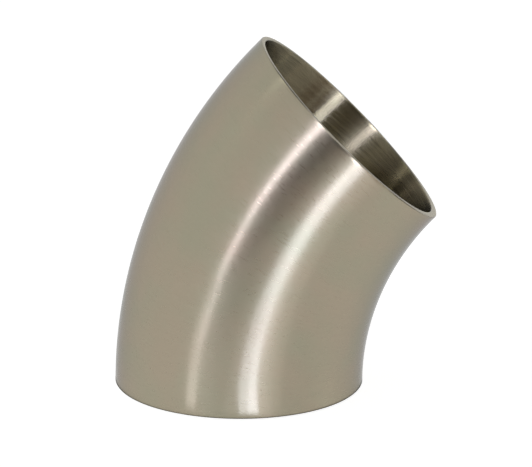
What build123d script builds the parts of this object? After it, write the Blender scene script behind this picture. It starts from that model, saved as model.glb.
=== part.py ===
# Weld elbow for sanitary tube, stainless steel, 45 degrees.
#
# A piece of tube is formed over a mandrel, faced square at both ends and brushed inside
# and out. The whole fitting is the bend: its ends have no straight length, so each faced
# end lies in a plane through the axis of the bend. Forming draws the wall thinner on the
# outside of the bend and gathers it on the inside, so the bore runs a little off the
# middle of the tube. The edges of the faced ends are broken to take the burr off.
#
# Frame: the origin is the middle of the lower end, with the tube rising along +Z and
# bending towards +X. The lower end stands on Z = 0.

import os

from build123d import *

# Driving sizes, in millimetres and degrees
tube_diameter = 63.5  # outside of the tube
wall = 1.65  # wall of the tube before it is bent
bend_radius = 95.25  # from the axis of the bend to the middle of the tube
bend_angle = 45.0  # from one faced end to the other
wall_shift = 0.3  # how far forming moves the bore towards the outside of the bend
outer_edge_break = 0.15  # chamfer round the outside of each end
inner_edge_break = 0.1  # countersink round the bore at each end

bore_radius = tube_diameter / 2 - wall
bend_axis = Axis((bend_radius, 0, 0), (0, 1, 0))

with BuildPart() as elbow:
    # The outside of the tube, a disc carried round the bend
    with BuildSketch(Plane.XY):
        Circle(tube_diameter / 2)
    revolve(axis=bend_axis, revolution_arc=bend_angle)
    chamfer(elbow.faces().filter_by(GeomType.PLANE).edges(), outer_edge_break)

    # The bore, carried round the same bend but off the middle of the tube
    with BuildSketch(Plane.XY):
        with Locations((-wall_shift, 0)):
            Circle(bore_radius)
    revolve(axis=bend_axis, revolution_arc=bend_angle, mode=Mode.SUBTRACT)

    # The countersinks: 45 degree cones that start outside each end, on the bore's own centre
    for faced_end in elbow.faces().filter_by(GeomType.PLANE):
        bore_rim = faced_end.inner_wires().edges()[0]
        mouth = Plane(bore_rim.arc_center, z_dir=-faced_end.normal_at())
        with Locations(mouth.offset(-inner_edge_break)):
            Cone(
                bottom_radius=bore_radius + 2 * inner_edge_break,
                top_radius=bore_radius - inner_edge_break,
                height=3 * inner_edge_break,
                align=(Align.CENTER, Align.CENTER, Align.MIN),
                mode=Mode.SUBTRACT,
            )

elbow.part.label = "elbow"

os.makedirs("parts", exist_ok=True)
export_step(elbow.part, "parts/elbow.step")
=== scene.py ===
import math

import bpy
from mathutils import Matrix, Vector


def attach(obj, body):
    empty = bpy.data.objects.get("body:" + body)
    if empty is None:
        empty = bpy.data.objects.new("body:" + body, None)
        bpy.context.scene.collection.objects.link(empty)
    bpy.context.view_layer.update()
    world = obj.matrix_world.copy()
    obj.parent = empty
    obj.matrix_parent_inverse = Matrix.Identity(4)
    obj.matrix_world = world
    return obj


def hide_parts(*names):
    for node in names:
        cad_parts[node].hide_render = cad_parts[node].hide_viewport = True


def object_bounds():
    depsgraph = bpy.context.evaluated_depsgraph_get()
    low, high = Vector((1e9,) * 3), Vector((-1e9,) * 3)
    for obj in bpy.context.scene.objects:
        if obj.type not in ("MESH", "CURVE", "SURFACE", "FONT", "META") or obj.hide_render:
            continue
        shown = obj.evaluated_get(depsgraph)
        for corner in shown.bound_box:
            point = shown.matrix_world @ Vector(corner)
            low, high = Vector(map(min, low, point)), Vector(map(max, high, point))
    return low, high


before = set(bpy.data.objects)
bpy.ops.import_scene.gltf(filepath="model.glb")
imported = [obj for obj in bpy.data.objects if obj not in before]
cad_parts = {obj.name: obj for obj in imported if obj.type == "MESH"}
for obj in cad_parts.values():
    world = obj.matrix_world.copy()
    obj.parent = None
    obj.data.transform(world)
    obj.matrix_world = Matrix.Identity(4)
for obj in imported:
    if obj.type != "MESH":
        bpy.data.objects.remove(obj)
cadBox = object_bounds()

# Everything is in metres, in the frame's own axes. The elbow's lower end stands on z = 0
# round the origin, the tube bends towards +x and the camera looks along +y.


class Value:  # a node's output that can be used in sums
    def __init__(self, tree, node, socket):
        self.tree, self.node, self.socket = tree, node, socket

    def out(self, name):
        return Value(self.tree, self.node, self.node.outputs[name])

    def maths(self, operation, *others):
        return self.tree.add("ShaderNodeMath", {"operation": operation}, [self, *others])

    def __add__(self, other):
        return self.maths("ADD", other)

    def __sub__(self, other):
        return self.maths("SUBTRACT", other)

    def __rsub__(self, other):
        return self.tree.add("ShaderNodeMath", {"operation": "SUBTRACT"}, [other, self])

    def __mul__(self, other):
        return self.maths("MULTIPLY", other)

    def __truediv__(self, other):
        return self.maths("DIVIDE", other)

    def __gt__(self, other):
        return self.maths("GREATER_THAN", other)

    __radd__ = __add__
    __rmul__ = __mul__


class NodeTree:  # adds nodes to a shader or geometry tree
    def __init__(self, tree):
        self.tree = tree

    def add(self, kind, settings=None, sockets=()):
        node = self.tree.nodes.new(kind)
        for name, setting in (settings or {}).items():
            if name == "captured":  # what a Capture Attribute node carries on
                for item in setting:
                    node.capture_items.new("FLOAT", item)
            else:
                setattr(node, name, setting)
        pairs = sockets.items() if isinstance(sockets, dict) else enumerate(sockets)
        for name, value in pairs:
            if isinstance(value, Value):
                self.tree.links.new(value.socket, node.inputs[name])
            else:
                node.inputs[name].default_value = value
        return Value(self, node, next((s for s in node.outputs if s.enabled), None))

    def vectorMaths(self, operation, *values):
        return self.add("ShaderNodeVectorMath", {"operation": operation}, values)


# The elbow's sizes. The frame gives the tube's diameter, the rest is as the solid has it.
elbowSizes = {
    "Tube Diameter": 2 * min(-cadBox[0].y, cadBox[1].y),
    "Wall": 0.00165,  # before bending
    "Wall Shift": 0.0003,  # how far the bore sits towards the outside of the bend
    "Bend Radius": 0.09525,
    "Bend Angle": math.radians(45),
    "Outer Edge": 0.00018,  # how far the broken edges reach
    "Inner Edge": 0.00012,
    "Segments Around": 192,
    "Rows Along": 72,
    "Edge Steps": 1,
}
cornerFrom = 0.4999  # of the wall section's length, from its middle
endFacing, roundFacing = 0.99, 0.3  # how far a face looks along the straight tube


def elbowTree(outside, bore, ends):
    group = bpy.data.node_groups.new("tube elbow", "GeometryNodeTree")
    for name, size in elbowSizes.items():
        kind = "NodeSocketInt" if isinstance(size, int) else "NodeSocketFloat"
        group.interface.new_socket(name, in_out="INPUT", socket_type=kind)
    group.interface.new_socket("Geometry", in_out="OUTPUT", socket_type="NodeSocketGeometry")
    tree = NodeTree(group)
    given = tree.add("NodeGroupInput")
    size = {name: given.out(name) for name in elbowSizes}
    tubeRadius = size["Tube Diameter"] / 2
    tubeLength = size["Bend Radius"] * size["Bend Angle"]

    # The wall's section: a rectangle with rounded corners, as long as the tube's middle line
    rectangle = tree.add(
        "GeometryNodeCurvePrimitiveQuadrilateral",
        {"mode": "RECTANGLE"},
        {"Width": size["Wall"], "Height": tubeLength},
    )
    longSide = tree.add("GeometryNodeInputIndex").maths("MODULO", 2)
    divided = tree.add(
        "GeometryNodeSubdivideCurve",
        {},
        {"Curve": rectangle, "Cuts": longSide * size["Rows Along"]},
    )
    point = tree.add("ShaderNodeSeparateXYZ", {}, [tree.add("GeometryNodeInputPosition")])
    isCorner = point.out("Y").maths("ABSOLUTE") > tubeLength * cornerFrom
    isOuter = point.out("X") > 0
    edgeRadius = size["Inner Edge"] + isOuter * (size["Outer Edge"] - size["Inner Edge"])
    section = tree.add(
        "GeometryNodeFilletCurve",
        {"mode": "POLY"},
        {"Curve": divided, "Count": size["Edge Steps"], "Radius": isCorner * edgeRadius},
    )

    # The section goes round a ring to make a straight tube
    ring = tree.add(
        "GeometryNodeCurvePrimitiveCircle",
        {"mode": "RADIUS"},
        {"Resolution": size["Segments Around"], "Radius": tubeRadius - size["Wall"] / 2},
    )
    tube = tree.add("GeometryNodeCurveToMesh", {}, {"Curve": ring, "Profile Curve": section})
    radial = (point.out("X").maths("POWER", 2) + point.out("Y").maths("POWER", 2)).maths("SQRT")
    inWall = (radial - tubeRadius + size["Wall"]) / size["Wall"]  # 0 in the bore, 1 outside
    normal = tree.add("ShaderNodeSeparateXYZ", {}, [tree.add("GeometryNodeInputNormal")])
    endways = normal.out("Z").maths("ABSOLUTE")
    straight = tree.add(
        "GeometryNodeCaptureAttribute",
        {"domain": "FACE", "captured": ["isBore", "isEnd", "isRound"]},
        {
            "Geometry": tube,
            "isBore": 0.5 - inWall > 0,
            "isEnd": endways > endFacing,
            "isRound": roundFacing - endways > 0,
        },
    )

    # The bore moves off the middle, then the tube is bent. The broken edges keep their size
    x = point.out("X") - size["Wall Shift"] * (1 - inWall)
    z = point.out("Z") + tubeLength / 2
    reach = size["Bend Radius"] - x
    edge = size["Outer Edge"]
    fromEnds = z.maths("MINIMUM", edge) + (z - tubeLength + edge).maths("MAXIMUM", 0)
    share = ((z - edge) / (tubeLength - 2 * edge)).maths("MAXIMUM", 0).maths("MINIMUM", 1)
    angle = fromEnds / reach + share * (size["Bend Angle"] - 2 * edge / reach)
    bentPlace = tree.add(
        "ShaderNodeCombineXYZ",
        {},
        [
            size["Bend Radius"] - reach * angle.maths("COSINE"),
            point.out("Y"),
            reach * angle.maths("SINE"),
        ],
    )
    bent = tree.add(
        "GeometryNodeSetPosition", {}, {"Geometry": straight, "Position": bentPlace}
    )
    smooth = tree.add(
        "GeometryNodeSetShadeSmooth",
        {},
        {"Geometry": bent, "Shade Smooth": straight.out("isRound")},
    )
    finished = tree.add("GeometryNodeRealizeInstances", {}, {"Geometry": smooth})
    finished = tree.add(
        "GeometryNodeSetMaterial", {}, {"Geometry": finished, "Material": outside}
    )
    for where, material in (("isBore", bore), ("isEnd", ends)):
        finished = tree.add(
            "GeometryNodeSetMaterial",
            {},
            {"Geometry": finished, "Selection": straight.out(where), "Material": material},
        )
    tree.add("NodeGroupOutput", {}, [finished])
    return group


def makeElbow(materials):
    piece = bpy.data.objects.new("tubeElbow", bpy.data.meshes.new("tubeElbow"))
    bpy.context.scene.collection.objects.link(piece)
    shape = piece.modifiers.new("tube elbow", "NODES")
    shape.node_group = elbowTree(*materials)
    for item in shape.node_group.interface.items_tree:
        if item.in_out == "INPUT":
            shape[item.identifier] = elbowSizes[item.name]
    normals = piece.modifiers.new("large faces lead", "WEIGHTED_NORMAL")
    normals.weight = 100
    graph = bpy.context.evaluated_depsgraph_get()
    piece.data = bpy.data.meshes.new_from_object(piece.evaluated_get(graph))
    piece.modifiers.clear()
    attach(piece, "root")
    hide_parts("elbow")
    print("elbow:", len(piece.data.polygons), "faces")
    return piece


# The brushed finish. A brush line runs round the tube, so its sides tilt along the tube and
# spread a reflection that way, while it stays sharp round the tube. Lengths are in metres.
brushedOutside = {
    "colour": (0.314, 0.293, 0.214),
    "warmColour": (0.338, 0.290, 0.216),  # in faint patches
    "patchSize": 0.014,
    "patchRange": (0.35, 0.65),  # of the noise, from one colour to the other
    "patchNoise": {"Detail": 3.0},
    "edgeTint": (0.62, 0.63, 0.66),  # holds the shine at a glancing angle down
    "roughness": 0.18,
    "spread": 0.15,  # slope of the lines' sides
    "fall": 1.5,  # how fast steeper slopes grow rare
    "steps": 0.09,  # between one slope and the next
    "lobes": 4,  # slopes to each side
    "lines": (  # width, length, change of tone, change of roughness, height
        (0.00024, 0.0028, 0.10, 0.18, 0.0000020),
        (0.00060, 0.0100, 0.05, 0.05, 0.0000020),
    ),
    "lineNoise": {"Detail": 3.0, "Roughness": 0.6},
    "steepFrom": 0.95,  # of the spread
    "steepRoughness": 0.12,  # the steeper sides are rougher by this much
    "turned": False,  # lines round the tube's wall, or turned rings on its ends
}
brushedBore = {
    **brushedOutside, "colour": (0.325, 0.295, 0.205), "warmColour": (0.335, 0.295, 0.205),
    "roughness": 0.125, "spread": 0.28, "steps": 0.1, "lobes": 5,
    "lines": (
        (0.00034, 0.009, 0.58, 0.20, 0.0000060),
        (0.00090, 0.025, 0.32, 0.10, 0.0000060),
    ),
    "steepRoughness": 0.11,
}
# The faced ends' colour is lighter than the brushed steel's: partly the faced finish, partly a
# painted highlight that lightens the line along the rim
facedEnds = {
    **brushedOutside, "colour": (0.375, 0.34, 0.28), "warmColour": (0.38, 0.34, 0.28),
    "roughness": 0.26, "edgeTint": (0.88, 0.87, 0.80),
    "lines": ((0.00016, 0.012, 0.12, 0.10, 0.0000020),), "steepRoughness": 0.06, "turned": True,
}


def brushedMetal(name, finish):
    material = bpy.data.materials.new(name)
    material.use_nodes = True
    material.node_tree.nodes.clear()
    tree = NodeTree(material.node_tree)
    onPiece = tree.add("ShaderNodeTexCoord").out("Object")
    place = tree.add("ShaderNodeSeparateXYZ", {}, [onPiece])
    toAxisX = elbowSizes["Bend Radius"] - place.out("X")
    reach = (toAxisX * toAxisX + place.out("Z") * place.out("Z")).maths("SQRT")
    alongTube = place.out("Z").maths("ARCTAN2", toAxisX) * elbowSizes["Bend Radius"]
    inward = elbowSizes["Bend Radius"] - reach  # the tube's own x
    tubeWay = tree.add("ShaderNodeCombineXYZ", {}, [place.out("Z") / reach, 0.0, toAxisX / reach])
    acrossLines, tiltWay = alongTube, tubeWay
    if finish["turned"]:
        acrossLines = (inward * inward + place.out("Y") * place.out("Y")).maths("SQRT")
        outward = [
            inward * toAxisX / reach,
            place.out("Y"),
            inward * place.out("Z") / reach * -1,
        ]
        tiltWay = tree.vectorMaths("NORMALIZE", tree.add("ShaderNodeCombineXYZ", {}, outward))

    tone, roughness, height = 1.0, finish["roughness"], 0.0
    for width, length, toneChange, roughChange, lineHeight in finish["lines"]:
        linePlace = tree.add(
            "ShaderNodeCombineXYZ",
            {},
            [inward / length, place.out("Y") / length, acrossLines / width],
        )
        line = tree.add(
            "ShaderNodeTexNoise",
            {"noise_dimensions": "3D"},
            {"Vector": linePlace, "Scale": 1.0, **finish["lineNoise"]},
        )
        uneven = line - 0.5
        tone = uneven * toneChange + tone
        roughness = uneven * roughChange + roughness
        height = uneven * lineHeight + height
    bump = tree.add("ShaderNodeBump", {}, {"Strength": 1.0, "Distance": 1.0, "Height": height})
    patch = tree.add(
        "ShaderNodeTexNoise",
        {"noise_dimensions": "3D"},
        {"Vector": onPiece, "Scale": 1 / finish["patchSize"], **finish["patchNoise"]},
    )
    low, high = finish["patchRange"]
    patch = tree.add(
        "ShaderNodeMapRange", {}, {"Value": patch, "From Min": low, "From Max": high}
    )
    mixed = tree.add(
        "ShaderNodeMix",
        {"data_type": "RGBA"},
        {"Factor": patch, 6: (*finish["colour"], 1), 7: (*finish["warmColour"], 1)},
    )
    colour = tree.add(
        "ShaderNodeVectorMath", {"operation": "SCALE"}, {"Vector": mixed, "Scale": tone}
    )
    steepRoughness = roughness + finish["steepRoughness"]
    total, shader = 0, None
    for step in range(-finish["lobes"], finish["lobes"] + 1):
        slope = step * finish["steps"]
        weight = (1 + (slope / finish["spread"]) ** 2) ** -finish["fall"]
        tilt = tree.add(
            "ShaderNodeVectorMath", {"operation": "SCALE"}, {"Vector": tiltWay, "Scale": slope}
        )
        facing = tree.vectorMaths("NORMALIZE", tree.vectorMaths("ADD", bump, tilt))
        isSteep = abs(slope) > finish["spread"] * finish["steepFrom"]
        metal = tree.add(
            "ShaderNodeBsdfPrincipled",
            {},
            {
                "Base Color": colour,
                "Metallic": 1.0,
                "Roughness": steepRoughness if isSteep else roughness,
                "Specular Tint": (*finish["edgeTint"], 1.0),
                "Normal": facing,
            },
        )
        total += weight
        shader = (
            tree.add("ShaderNodeMixShader", {}, [weight / total, shader, metal])
            if shader
            else metal
        )
    tree.add("ShaderNodeOutputMaterial", {}, [shader])
    return material


# The floor is white to the camera and in reflections, and darker where the elbow shades it
floorLook = {
    "radius": 4.0,
    "drop": 0.0002,  # below the elbow's lower end
    "sides": 96,
    "ownWhite": 0.93,
    "shaded": 0.35,  # how much light and shadow show on that white
    "plain": 0.8,  # what it throws back on the elbow
}


def makeFloor():
    mesh = bpy.data.meshes.new("floor")
    rim = [
        (
            floorLook["radius"] * math.cos(2 * math.pi * i / floorLook["sides"]),
            floorLook["radius"] * math.sin(2 * math.pi * i / floorLook["sides"]),
            -floorLook["drop"],
        )
        for i in range(floorLook["sides"])
    ]
    mesh.from_pydata(rim, [], [range(floorLook["sides"])])
    floor = bpy.data.objects.new("floor", mesh)
    bpy.context.scene.collection.objects.link(floor)
    material = bpy.data.materials.new("white floor")
    material.use_nodes = True
    material.node_tree.nodes.clear()
    tree = NodeTree(material.node_tree)
    path = tree.add("ShaderNodeLightPath")
    isSeen = path.out("Is Camera Ray").maths("MAXIMUM", path.out("Is Glossy Ray"))
    isSeen = isSeen.maths("MAXIMUM", path.out("Is Transmission Ray"))
    plain, weak = (
        tree.add("ShaderNodeBsdfDiffuse", {}, {"Color": (grey, grey, grey, 1)})
        for grey in (floorLook["plain"], floorLook["shaded"])
    )
    glow = tree.add(
        "ShaderNodeEmission", {}, {"Color": (1, 1, 1, 1), "Strength": floorLook["ownWhite"]}
    )
    seen = tree.add("ShaderNodeAddShader", {}, [weak, glow])
    tree.add(
        "ShaderNodeOutputMaterial", {}, [tree.add("ShaderNodeMixShader", {}, [isSeen, plain, seen])]
    )
    mesh.materials.append(material)
    print("floor made")


# Lights. Angles are in degrees as seen from the middle of the elbow: around from -y towards
# +x, and up. Sizes and distances are in metres.
def wayTo(around, up):
    a, u = math.radians(around), math.radians(up)
    return Vector((math.sin(a) * math.cos(u), -math.cos(a) * math.cos(u), math.sin(u)))


elbowMiddle = Vector((0.0155, 0, 0.042))


def lightSheet(name, sides, look):
    corners = [corner for pair in sides for corner in pair]
    faces = [(i, i + 2, i + 3, i + 1) for i in range(0, len(corners) - 2, 2)]
    mesh = bpy.data.meshes.new(name)
    mesh.from_pydata(corners, [], faces)
    sheet = bpy.data.objects.new(name, mesh)
    bpy.context.scene.collection.objects.link(sheet)
    material = bpy.data.materials.new(name)
    material.use_nodes = True
    material.node_tree.nodes.clear()
    tree = NodeTree(material.node_tree)
    glow = {"Color": (*look["colour"], 1), "Strength": look["radiance"]}
    surface = tree.add("ShaderNodeEmission", {}, glow)
    if look["adds"]:  # shines on top of what is behind it
        clear = tree.add("ShaderNodeBsdfTransparent")
        surface = tree.add("ShaderNodeAddShader", {}, [surface, clear])
    tree.add("ShaderNodeOutputMaterial", {}, [surface])
    mesh.materials.append(material)
    sheet.visible_camera = False
    sheet.visible_diffuse = False
    sheet.visible_shadow = False


# Sheets of light stand round the elbow: around, up and half width of each row, all in degrees
ribbonLights = {
    "tallRibbon": {
        "rows": ((-44.1, -2.2, 1.8), (-38.8, 3.5, 1.7), (-32.9, 14.5, 2.6), (-26.4, 24.0, 4.2),
                 (-16.2, 32.0, 4.0), (-6.2, 40.0, 3.9)),
        "distance": 1.0, "radiance": 6.6, "colour": (0.80, 0.77, 1.0), "adds": True,
    },
    "ribbonTop": {
        "rows": ((-6.2, 40.0, 3.9), (4.0, 47.0, 3.9), (16.0, 53.0, 3.9), (29.0, 57.0, 3.9)),
        "distance": 1.0, "radiance": 21.0, "colour": (0.80, 0.83, 0.95), "adds": True,
    },
    "leftRibbon": {
        "rows": ((-98.0, 43.0, 3.0), (-76.0, 62.0, 3.0)),
        "distance": 1.0, "radiance": 1.5, "colour": (1.0, 1.0, 0.9), "adds": True,
    },
    "sideSheet": {
        "rows": ((92.0, 6.0, 12.0), (82.0, 20.0, 14.0), (79.0, 35.0, 15.0), (79.0, 52.0, 15.0),
                 (98.0, 66.0, 15.0)),
        "distance": 1.0, "radiance": 3.9, "colour": (1.0, 1.0, 0.97), "adds": False,
    },
    "lowBox": {
        "rows": ((14.5, -2.2, 4.9), (19.5, 5.0, 4.9)),
        "distance": 1.0, "radiance": 20.0, "colour": (0.80, 0.84, 1.0), "adds": True,
    },
}
# Sheets of light lie flat on the floor in front. They widen with their distance, so that they
# are equally wide in reflections at every height: distance from the base, middle, half width.
floorLights = {
    "floorPanel": {
        "rows": ((0.003, 0.0011, 0.0030), (0.030, 0.0013, 0.0068), (0.060, 0.0046, 0.0098),
                 (0.095, 0.0115, 0.0157), (0.140, 0.0275, 0.0245), (0.200, 0.0575, 0.0380),
                 (0.290, 0.096, 0.057), (0.430, 0.150, 0.080)),
        "radiance": 2.8, "colour": (0.72, 0.82, 1.12), "adds": True,
    },
    "farPanel": {
        "rows": ((0.31, 0.085, 0.021), (0.50, 0.150, 0.037), (0.75, 0.240, 0.058),
                 (1.05, 0.345, 0.081)),
        "radiance": 13.0, "colour": (0.80, 0.84, 1.0), "adds": True,
    },
    "floorFade": {
        "rows": ((0.003, -0.0035, 0.0040), (0.030, -0.005, 0.0075), (0.060, -0.005, 0.011),
                 (0.095, -0.002, 0.016)),
        "radiance": 0.2, "colour": (0.80, 0.84, 1.0), "adds": True,
    },
    "leftPanel": {
        "rows": ((0.0008, -0.0192, 0.0027), (0.017, -0.037, 0.0056), (0.037, -0.0595, 0.0094),
                 (0.080, -0.107, 0.017), (0.164, -0.189, 0.032)),
        "radiance": 1.05, "colour": (0.85, 0.83, 1.0), "adds": True,
    },
    "floorSkirt": {
        "rows": ((0.003, 0.005, 0.007), (0.060, 0.022, 0.028), (0.140, 0.060, 0.060),
                 (0.290, 0.160, 0.120), (0.430, 0.240, 0.170)),
        "radiance": 0.14, "colour": (1.0, 1.0, 1.0), "adds": True,
    },
}
# Beyond the table the floor is brown and dull in reflections, in front and at both sides
tableEnds = {
    "tableEndLeft": {"around": (-44.0, -14.0), "near": 0.5, "colour": (0.15, 0.035, 0.012)},
    "tableEndFront": {"around": (-14.0, 36.0), "near": 0.5, "colour": (0.25, 0.075, 0.03)},
    "tableEndSide": {"around": (36.0, 84.0), "near": 0.21, "colour": (0.23, 0.12, 0.07)},
    "tableEndRight": {"around": (84.0, 120.0), "near": 0.5, "colour": (0.23, 0.12, 0.07)},
}
tableShape = {"far": 3.5, "steps": 8, "radiance": 1.0, "adds": False}
sheetLift = 0.0003
# A dark ring, seen only in reflections, lies under the elbow where it touches the floor: a painted
# contact shadow, which draws a dark line round the lower edge
footShade = {
    "reach": 0.0005, "steps": 64, "radiance": 1.0, "colour": (0.2, 0.2, 0.18), "adds": False,
}


def ringWays(first, last, steps):
    return [wayTo(first + (last - first) * i / steps, 0) for i in range(steps + 1)]


def makeLights():
    for name, light in ribbonLights.items():
        rows = [(wayTo(around, up), half) for around, up, half in light["rows"]]
        sides = []
        for i, (way, half) in enumerate(rows):
            along = rows[min(i + 1, len(rows) - 1)][0] - rows[max(i - 1, 0)][0]
            across = along.cross(way).normalized() * math.tan(math.radians(half))
            across *= light["distance"]
            centre = elbowMiddle + way * light["distance"]
            sides.append([centre - across, centre + across])
        lightSheet(name, sides, light)
    tubeRadius = elbowSizes["Tube Diameter"] / 2
    for name, light in floorLights.items():
        sides = [
            [(middle + side, -tubeRadius - away, sheetLift) for side in (-half, half)]
            for away, middle, half in light["rows"]
        ]
        lightSheet(name, sides, light)
    low = Vector((0, 0, sheetLift / 2))
    for name, look in tableEnds.items():
        ring = ringWays(*look["around"], tableShape["steps"])
        sides = [[way * look["near"] + low, way * tableShape["far"] + low] for way in ring]
        lightSheet(name, sides, {**tableShape, **look})
    # the painted contact shadow: a dark ring under the elbow that only reflections see
    low = Vector((0, 0, -floorLook["drop"] / 2))
    inner, outer = tubeRadius - elbowSizes["Wall"], tubeRadius + footShade["reach"]
    ring = ringWays(0, 360, footShade["steps"])
    lightSheet("footShade", [[way * inner + low, way * outer + low] for way in ring], footShade)


# The surroundings are bright behind and to the left, and dark in front, on the right and above
surroundings = {
    "bright": 1.0,
    "dark": 0.03,
    "towards": (-118, 6),  # middle of the bright side
    "edge": (-0.05, 0.25),  # where it fades, as the cosine of the angle from that middle
    "top": (0.70, 0.92),  # where it fades overhead, as the sine of the angle up
}


def makeWorld():
    world = bpy.data.worlds.new("studio")
    world.use_nodes = True
    world.node_tree.nodes.clear()
    tree = NodeTree(world.node_tree)
    look = tree.add("ShaderNodeTexCoord").out("Generated")
    look = tree.vectorMaths("NORMALIZE", look)
    facing = tree.vectorMaths("DOT_PRODUCT", look, wayTo(*surroundings["towards"]))
    facing = facing.out("Value")
    height = tree.add("ShaderNodeSeparateXYZ", {}, [look]).out("Z")
    soft = {"interpolation_type": "SMOOTHSTEP"}
    lit = tree.add(
        "ShaderNodeMapRange",
        soft,
        {
            "Value": facing,
            "From Min": surroundings["edge"][0],
            "From Max": surroundings["edge"][1],
            "To Min": surroundings["dark"],
            "To Max": surroundings["bright"],
        },
    )
    low = tree.add(
        "ShaderNodeMapRange",
        soft,
        {
            "Value": height,
            "From Min": surroundings["top"][0],
            "From Max": surroundings["top"][1],
            "To Min": 1.0,
            "To Max": 0.0,
        },
    )
    sky = tree.add(
        "ShaderNodeBackground", {}, {"Color": (1, 1, 1, 1), "Strength": lit * low}
    )
    tree.add("ShaderNodeOutputWorld", {}, [sky])
    bpy.context.scene.world = world


makeLights()
makeWorld()
makeFloor()
print("lights set")

# The camera stands where the photograph was taken from
cameraFit = {
    "around": -3.81,  # degrees
    "up": 17.59,
    "roll": 0.35,
    "distance": 1.905,
    "lens": 503.99,  # millimetres, as the sensor
    "sensor": 36,
    "clip": (0.01, 20),
    "target": Vector((0.015875, 0, 0.0381)),
    "aside": Vector((-0.00908, 0.00085)),  # of the picture's middle from the target, right and up
}


def makeCamera():
    back = wayTo(cameraFit["around"], cameraFit["up"])
    right = (-back).cross(Vector((0, 0, 1))).normalized()
    up = right.cross(-back)
    roll = math.radians(cameraFit["roll"])
    rolledRight = right * math.cos(roll) + up * math.sin(roll)
    rolledUp = up * math.cos(roll) - right * math.sin(roll)
    camera = bpy.data.cameras.new("camera")
    camera.lens = cameraFit["lens"]
    camera.sensor_width = cameraFit["sensor"]
    camera.clip_start, camera.clip_end = cameraFit["clip"]
    seat = bpy.data.objects.new("camera", camera)
    bpy.context.scene.collection.objects.link(seat)
    aside = cameraFit["aside"]
    place = cameraFit["target"] + back * cameraFit["distance"]
    place += rolledRight * aside.x + rolledUp * aside.y
    seat.matrix_world = (
        Matrix.Translation(place) @ Matrix((rolledRight, rolledUp, back)).transposed().to_4x4()
    )
    bpy.context.scene.camera = seat
    print("camera set")


makeCamera()
finishes = {
    "brushed outside": brushedOutside, "brushed bore": brushedBore, "faced ends": facedEnds,
}
makeElbow([brushedMetal(name, finish) for name, finish in finishes.items()])
bpy.context.scene.view_settings.view_transform = "Standard"
